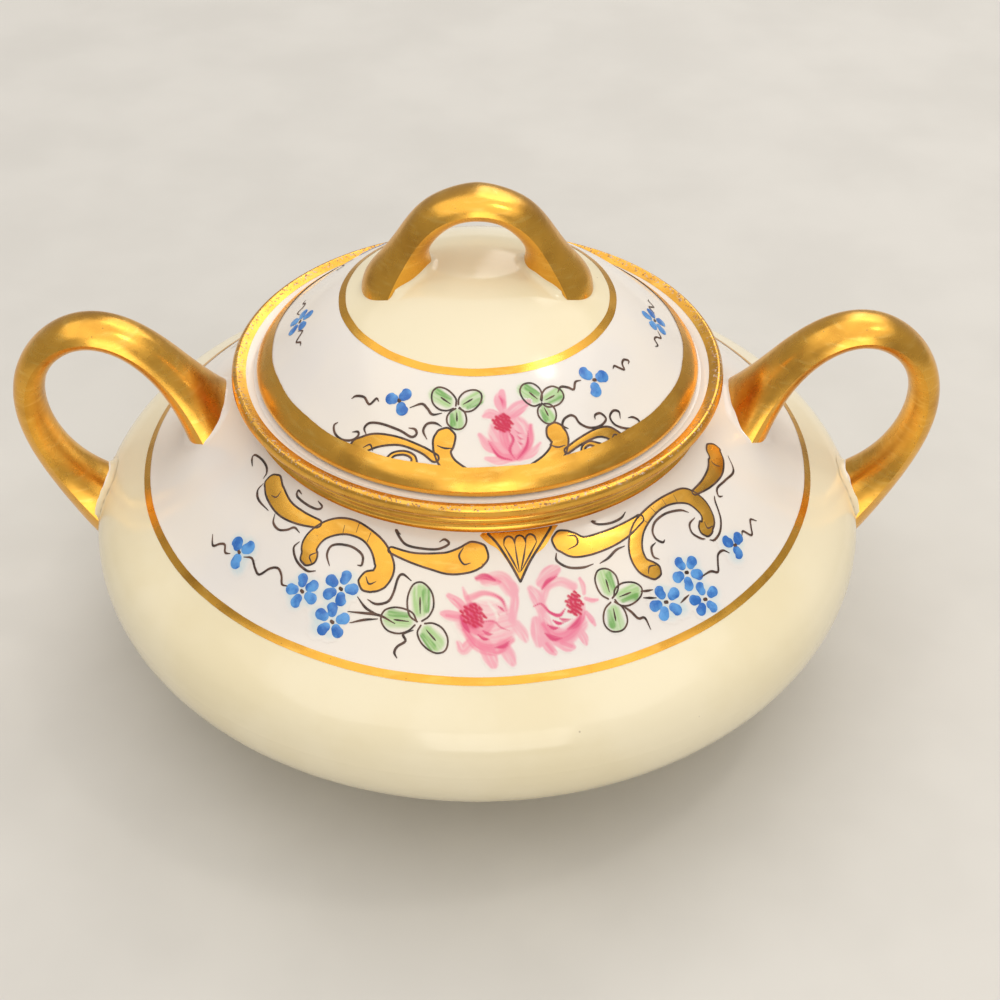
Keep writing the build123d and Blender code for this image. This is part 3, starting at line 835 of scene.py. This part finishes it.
LID_ROSE = (
    # petals round the cup, the cup, its shadows and the fine lines over them
    (PINK_PALE, 1, 0.42, [(0.4, -2.6, 1.6), (0.2, -4.2, 2.4), (0.6, -5.6, 1.4)]),
    (PINK_PALE, 1, 0.42, [(1.4, -1.8, 2.4), (3.0, -2.8, 2.6), (4.7, -3.4, 1.2)]),
    (PINK_PALE, 0.96, 0.42, [(-0.4, -1.6, 2.0), (-1.6, -2.2, 2.0), (-2.6, -1.8, 1.0)]),
    (PINK_PALE, 1, 0.42, [(0.0, 3.4, 2.4), (-2.2, 3.0, 2.2), (-3.5, 1.2, 1.2)]),
    (PINK_PALE, 0.84, 0.42, [(1.0, 5.0, 1.8), (-1.2, 5.3, 1.8), (-2.9, 4.9, 1.0)]),
    (PINK_PALE, 0.84, 0.42, [(2.4, 4.9, 2.0), (4.4, 4.6, 1.8), (5.8, 3.4, 0.9)]),
    (PINK_PALE, 0.9, 0.8, [(0.6, 0.4, 5.6), (1.2, 1.6, 7.6), (1.7, 2.8, 6.6)]),
    (PINK, 0.8, 0.5, [(0.3, -4.9, 0.9), (0.6, -3.9, 1.4), (0.7, -3.0, 0.8)]),
    (PINK, 0.6, 0.5, [(1.6, -1.4, 1.0), (3.0, -2.0, 1.2), (4.2, -2.8, 0.7)]),
    (PINK, 0.8, 0.5, [(-2.0, 2.6, 1.2), (-0.6, 4.6, 1.6), (1.4, 5.0, 1.6)]),
    (PINK, 0.8, 0.5, [(4.6, 0.4, 1.2), (4.3, 2.8, 1.6), (2.4, 4.9, 1.6)]),
    (PINK, 0.7, 0.5, [(0.2, 1.0, 2.0), (0.4, 2.6, 1.8), (1.0, 4.0, 1.2)]),
    (BARE, 0.5, 0.5, [(2.4, -0.8, 0.6), (3.4, 0.2, 0.9), (3.6, 1.6, 0.5)]),
    (ROSE, 1, 0.25, [(1.1, 1.0, 0.5), (1.6, 2.2, 0.8), (0.9, 3.8, 0.7), (1.6, 5.3, 0.4)]),
    (ROSE, 1, 0.25, [(4.1, 1.2, 0.4), (3.6, 3.6, 0.75), (1.9, 5.4, 0.5)]),
    (ROSE, 1, 0.25, [(-2.3, 2.2, 0.4), (-1.0, 4.5, 0.7), (1.0, 5.4, 0.45)]),
    (ROSE, 0.9, 0.25, [(2.1, 0.8, 0.35), (2.6, 1.3, 0.55), (3.2, 1.4, 0.3)]),
    (ROSE, 0.9, 0.25, [(2.3, 1.7, 0.35), (2.8, 2.2, 0.55), (3.3, 2.3, 0.3)]),
    (ROSE, 0.9, 0.25, [(2.3, 2.6, 0.35), (2.7, 3.0, 0.55), (3.1, 3.1, 0.3)]),
    (ROSE, 0.7, 0.3, [(0.1, -4.9, 0.4), (0.5, -4.2, 0.7), (0.5, -3.4, 0.35)]),
)
LID_HEARTS = ((0.3, -0.6, 1.5, 1.4),)


def roses(skin, middle, size, strokes, hearts, turn):
    """A patch of roses: their brush strokes, then their hearts."""
    wash = Wash(skin, middle, size, turn, step=0.13)
    for colour, strength, soft, stations in strokes:
        wash.dab(stations, colour, strength, soft)
    for spot in hearts:
        heart(wash, *spot)
    return wash


BOWL_CLOVERS = (
    # (junction, middle of the wash, leaves as (centre, length, width))
    ((-8.7, 14.9), (-9.6, 13.8),
     (((-9.2, 11.7), 6.2, 4.2), ((-12.1, 15.0), 5.4, 4.0), ((-6.6, 17.0), 5.2, 3.8))),
    ((20.9, 13.9), (22.3, 14.0),
     (((21.1, 11.2), 4.9, 3.8), ((23.8, 13.8), 4.9, 3.6), ((20.6, 16.7), 4.7, 3.7))),
)
BOWL_CLOVER_SIZE = (14.5, 14.5)
BOWL_HALOS = (
    # (name, middle of the wash, its size)
    ("left", (-32.5, 15.5), (27, 13)),
    ("right", (37.5, 16.5), (27, 13)),
)

for side, turn in (("front", 0.0), ("back", BACK)):
    gilt = Layer(shoulder, GOLD_LIFT)
    lines = Layer(shoulder, INK_LIFT)
    for scroll in BOWL_SCROLLS:
        gilt.stroke(scroll, turn, columns=6)
        lines.outline(scroll, LINE_FINE, turn)
    gilt.stroke(PENDANT, turn, columns=10)
    for places in PENDANT_EDGES:
        lines.stroke([(*place, LINE) for place in places], turn)
    for places in BOWL_TENDRILS:
        lines.stroke(with_width(places, LINE), turn)
    for places in BOWL_TICKS:
        lines.stroke(with_width(places, LINE_FINE), turn)
    enamel = Layer(shoulder, GOLD_LIFT)
    petals(enamel, lines, BOWL_FLOWERS, turn)
    for name, middle, size in BOWL_HALOS:
        halo(shoulder, BOWL_FLOWERS, middle, size, turn).build(
            f"bowl_halo_{name}_{side}", "bowl", bowl_painted, "porcelain")
    for name, (junction, middle, leaves) in zip(("left", "right"), BOWL_CLOVERS):
        wash = Wash(shoulder, middle, BOWL_CLOVER_SIZE, turn)
        for centre, length, width in leaves:
            leaf(wash, lines, junction, centre, length, width, turn)
        wash.build(f"bowl_clover_{name}_{side}", "bowl", bowl_painted, "porcelain")
    roses(shoulder, BOWL_ROSES_MIDDLE, BOWL_ROSES_SIZE, BOWL_ROSES, BOWL_HEARTS, turn).build(
        f"bowl_roses_{side}", "bowl", bowl_painted, "porcelain")
    gilt.build(f"bowl_scrolls_{side}", "bowl", gold, "gilding")
    lines.build(f"bowl_ink_{side}", "bowl", ink, "porcelain")
    enamel.build(f"bowl_blue_petals_{side}", "bowl", blue, "porcelain")

rings = Layer(shoulder, GOLD_LIFT)
rings.band(BOWL_LINE - LINE_WIDTH / 2, BOWL_LINE + LINE_WIDTH / 2, 0.06, seed=1.0)
rings.build("bowl_gold_line", "bowl", gold, "gilding")
rolled = Layer(lip, GOLD_LIFT)
rolled.band(0.0, lip.s[-1])
rolled.build("bowl_gilt_lip", "bowl", lip_gold, "gilding")


# ---------------------------------------------------------------- decoration of the lid

LID_SCROLLS = (
    [(-4.9, 13.9, 3.3), (-5.1, 14.8, 3.4), (-5.0, 16.3, 2.6), (-4.0, 18, 2.4), (-2.0, 19.6, 2.4)],
    [(-6, 17.2, 1.3), (-8, 16.2, 1.0), (-11, 15.6, 1.1), (-13.4, 15.9, 1.7), (-15.5, 16.8, 2.4),
     (-17.2, 18.4, 2.8)],
    [(-12.4, 19, 0.8), (-11.8, 17.8, 0.6), (-10.3, 17.2, 0.6), (-9, 17.6, 0.7), (-8.6, 18.8, 1.0)],
    [(11.8, 14.2, 3.1), (12.1, 15.4, 3.0), (11.4, 17, 2.7), (9.8, 18.4, 2.5), (7.5, 19.6, 2.4)],
    [(12.6, 17.5, 0.9), (15, 16.7, 1.0), (17.8, 16.4, 1.3), (19.6, 17.1, 2.0), (20.4, 18.4, 2.4)],
    [(14.8, 19.1, 0.8), (15, 17.9, 0.6), (16.2, 17.5, 0.6), (17.5, 18.6, 1.0)],
)
LID_TENDRILS = (
    [(-22, 16.3), (-22.3, 17), (-21.5, 18), (-20, 18.4), (-18.5, 17.8), (-17.9, 16.8), (-18.2, 16.2),
     (-19, 16.6)],
    [(-16.8, 16.1), (-17.5, 15.3), (-17, 14.2), (-15, 13.7), (-12, 13.9), (-10, 14.5), (-9.3, 13.9),
     (-9.7, 13.2), (-10.7, 13.2)],
    [(-7.6, 14.4), (-8.4, 13.2), (-8, 12), (-6.8, 11.7), (-5.7, 12.1)],
    [(13.9, 14.2), (13.2, 13.5), (13.8, 12.6), (15, 12.3), (15.7, 12.8), (16, 14), (17.2, 15.2), (19, 15.6),
     (20.4, 15), (20, 13.8), (19, 13.7), (18.7, 14.3)],
    [(22.7, 16), (23.1, 15), (22.3, 14.4), (21.2, 15), (21.3, 16.5), (22.8, 18), (24.5, 18.7), (25.3, 18),
     (24.8, 17), (24, 16.6)],
    [(-22, 11.9), (-21.5, 11.2), (-20, 10.8), (-18.5, 11.5), (-17.8, 10.2), (-17.2, 10.5)],
    [(-11.5, 10), (-9.7, 9), (-8.5, 9.6), (-7.5, 10.4), (-6, 10)],
    [(14.5, 8.2), (15.5, 7.5), (16.8, 8), (17.6, 8.6), (18.6, 7.6), (19.8, 7.7)],
    [(27.3, 8.8), (28, 8.6), (28.7, 9.5), (29.3, 10.1), (29.8, 9.2), (30.8, 8.9), (31.6, 9.6), (31, 9.9)],
)
LID_TICKS = (
    [(-5.9, 15.2), (-4.8, 15.5), (-3.7, 15.4)],
    [(-16.4, 18.2), (-15.6, 17.4), (-14.9, 18.2)],
    [(10.4, 15.9), (11.4, 16.6), (12.6, 16.6)],
    [(19.5, 18.6), (20.3, 17.8), (21.1, 18.5)],
)
LID_FLOWERS = (
    ((-13.8, 9.3), ((-15.1, 9.4), (-13.1, 8.2), (-12.8, 10.5)), 2.0),
    ((22.3, 8.6), ((21.5, 7.1), (21.4, 10.1), (24.1, 8.8)), 2.2),
)
LID_CLOVER_SIZE = (11, 9)
LID_CLOVERS = (
    ((-3.6, 8.9), (-3.6, 8.6), (((-6.1, 7.7), 4.9, 3.4), ((-1.4, 7.6), 4.4, 3.3), ((-3.4, 10.7), 3.4, 3.2))),
    ((11.0, 9.0), (11.6, 8.9), (((9.7, 7.4), 4.2, 3.6), ((13.2, 8.6), 4.4, 3.2), ((11.4, 11.0), 3.4, 3.0))),
)
SIDE_DOWN = 11.8         # the flower between the two bunches; its petals and tendrils are from its middle
SIDE_PETALS = ((-0.2, -1.8), (1.8, -0.5), (1.1, 1.6), (-1.2, 1.5), (-1.8, -0.4))
SIDE_PETAL_WIDTH = 1.9
SIDE_TENDRILS = (
    [(-2.6, 0.6), (-3.8, 1.4), (-4.6, 0.4), (-5.6, 0.1), (-6.4, 1.0), (-7.2, 0.6)],
    [(2.6, 0.4), (3.6, -0.6), (4.4, 0.2), (5.2, 1.0), (6.2, 0.2), (7.0, 0.4)],
)

for side, turn in (("front", 0.0), ("back", BACK)):
    gilt = Layer(dome, GOLD_LIFT)
    lines = Layer(dome, INK_LIFT)
    for scroll in LID_SCROLLS:
        gilt.stroke(scroll, turn, columns=6)
        lines.outline(scroll, LINE_FINE, turn)
    for places in LID_TENDRILS:
        lines.stroke(with_width(places, LINE), turn)
    for places in LID_TICKS:
        lines.stroke(with_width(places, LINE_FINE), turn)
    enamel = Layer(dome, GOLD_LIFT)
    petals(enamel, lines, LID_FLOWERS, turn)
    for name, (junction, middle, leaves) in zip(("left", "right"), LID_CLOVERS):
        wash = Wash(dome, middle, LID_CLOVER_SIZE, turn)
        for centre, length, width in leaves:
            leaf(wash, lines, junction, centre, length, width, turn)
        wash.build(f"lid_clover_{name}_{side}", "lid", lid_painted, "lid_porcelain")
    roses(dome, LID_ROSE_MIDDLE, LID_ROSE_SIZE, LID_ROSE, LID_HEARTS, turn).build(
        f"lid_rose_{side}", "lid", lid_painted, "lid_porcelain")
    quarter = turn + math.pi / 2
    flower = ((0, SIDE_DOWN), [(x, SIDE_DOWN + y) for x, y in SIDE_PETALS], SIDE_PETAL_WIDTH)
    petals(enamel, lines, (flower,), quarter)
    for places in SIDE_TENDRILS:
        lines.stroke(with_width([(x, SIDE_DOWN + y) for x, y in places], LINE_FINE), quarter)
    gilt.build(f"lid_scrolls_{side}", "lid", gold, "lid_gilding")
    lines.build(f"lid_ink_{side}", "lid", ink, "lid_porcelain")
    enamel.build(f"lid_blue_petals_{side}", "lid", blue, "lid_porcelain")

rings = Layer(dome, GOLD_LIFT)
rings.band(LID_LINE - LINE_WIDTH / 2, LID_LINE + LINE_WIDTH / 2, 0.05, seed=2.0)
rings.build("lid_gold_line", "lid", gold, "lid_gilding")
edge = Layer(dome, EDGE_LIFT)
edge.band(LID_BAND, dome.s[-1], 0.12, seed=3.0)
edge.build("lid_gilt_edge", "lid", gold, "lid_gilding")


# ---------------------------------------------------------------- stage, light and camera

# In metres, and the lens in mm
FLOOR_SIZE = 30
LIGHT_AIM = Vector((0, 0, 0.04))     # the middle of the bowl
CAMERA_PLACE = Vector((0.0, -0.2552, 0.2338))
CAMERA_AIM = Vector((0.01210, 0.77803, -0.62811))
CAMERA_ROLL = math.radians(0.38)
LENS = 64.8


def floor_paint(tree):
    cloud = between(tree, mottle(tree, 30), 0.3, 0.7)
    return {
        "Base Color": blend(tree, cloud, (0.62, 0.61, 0.59), (0.66, 0.65, 0.63)),
        "Roughness": 0.6,
    }


bpy.ops.mesh.primitive_plane_add(size=FLOOR_SIZE)
floor = bpy.context.object
floor.name = "floor"
floor.data.materials.append(finished("floor_paint", floor_paint))

world = bpy.data.worlds.new("studio")
world.use_nodes = True
world.node_tree.nodes["Background"].inputs["Color"].default_value = (1.0, 0.965, 0.92, 1)
world.node_tree.nodes["Background"].inputs["Strength"].default_value = 0.38
bpy.context.scene.world = world


def softbox(name, place, size, power, colour):
    """A square area light aimed at the bowl."""
    lamp = bpy.data.lights.new(name, "AREA")
    lamp.size = size
    lamp.energy = power
    lamp.color = colour
    box = bpy.data.objects.new(name, lamp)
    box.location = place
    box.rotation_euler = (LIGHT_AIM - box.location).to_track_quat("-Z", "Y").to_euler()
    bpy.context.scene.collection.objects.link(box)


softbox("key", (0.0, 0.05, 1.20), 2.20, 15.0, (1.0, 0.95, 0.87))
softbox("front", (0.10, -1.10, 0.68), 0.80, 4.5, (1.0, 0.95, 0.88))
softbox("rear", (0.30, 0.85, 0.75), 0.60, 2.2, (1.0, 0.96, 0.90))
softbox("sparkle", (0.45, 0.00, 0.95), 0.10, 0.6, (1.0, 0.93, 0.82))
bpy.context.scene.view_settings.view_transform = "Standard"

aim = CAMERA_AIM.normalized()
level = aim.cross(Vector((0, 0, 1))).normalized()
up = level.cross(aim)
right = level * math.cos(CAMERA_ROLL) + up * math.sin(CAMERA_ROLL)
up = right.cross(aim)
camera = bpy.data.objects.new("camera", bpy.data.cameras.new("camera"))
camera.matrix_world = Matrix.Translation(CAMERA_PLACE) @ Matrix((right, up, -aim)).transposed().to_4x4()
camera.data.lens = LENS
bpy.context.scene.collection.objects.link(camera)
bpy.context.scene.camera = camera
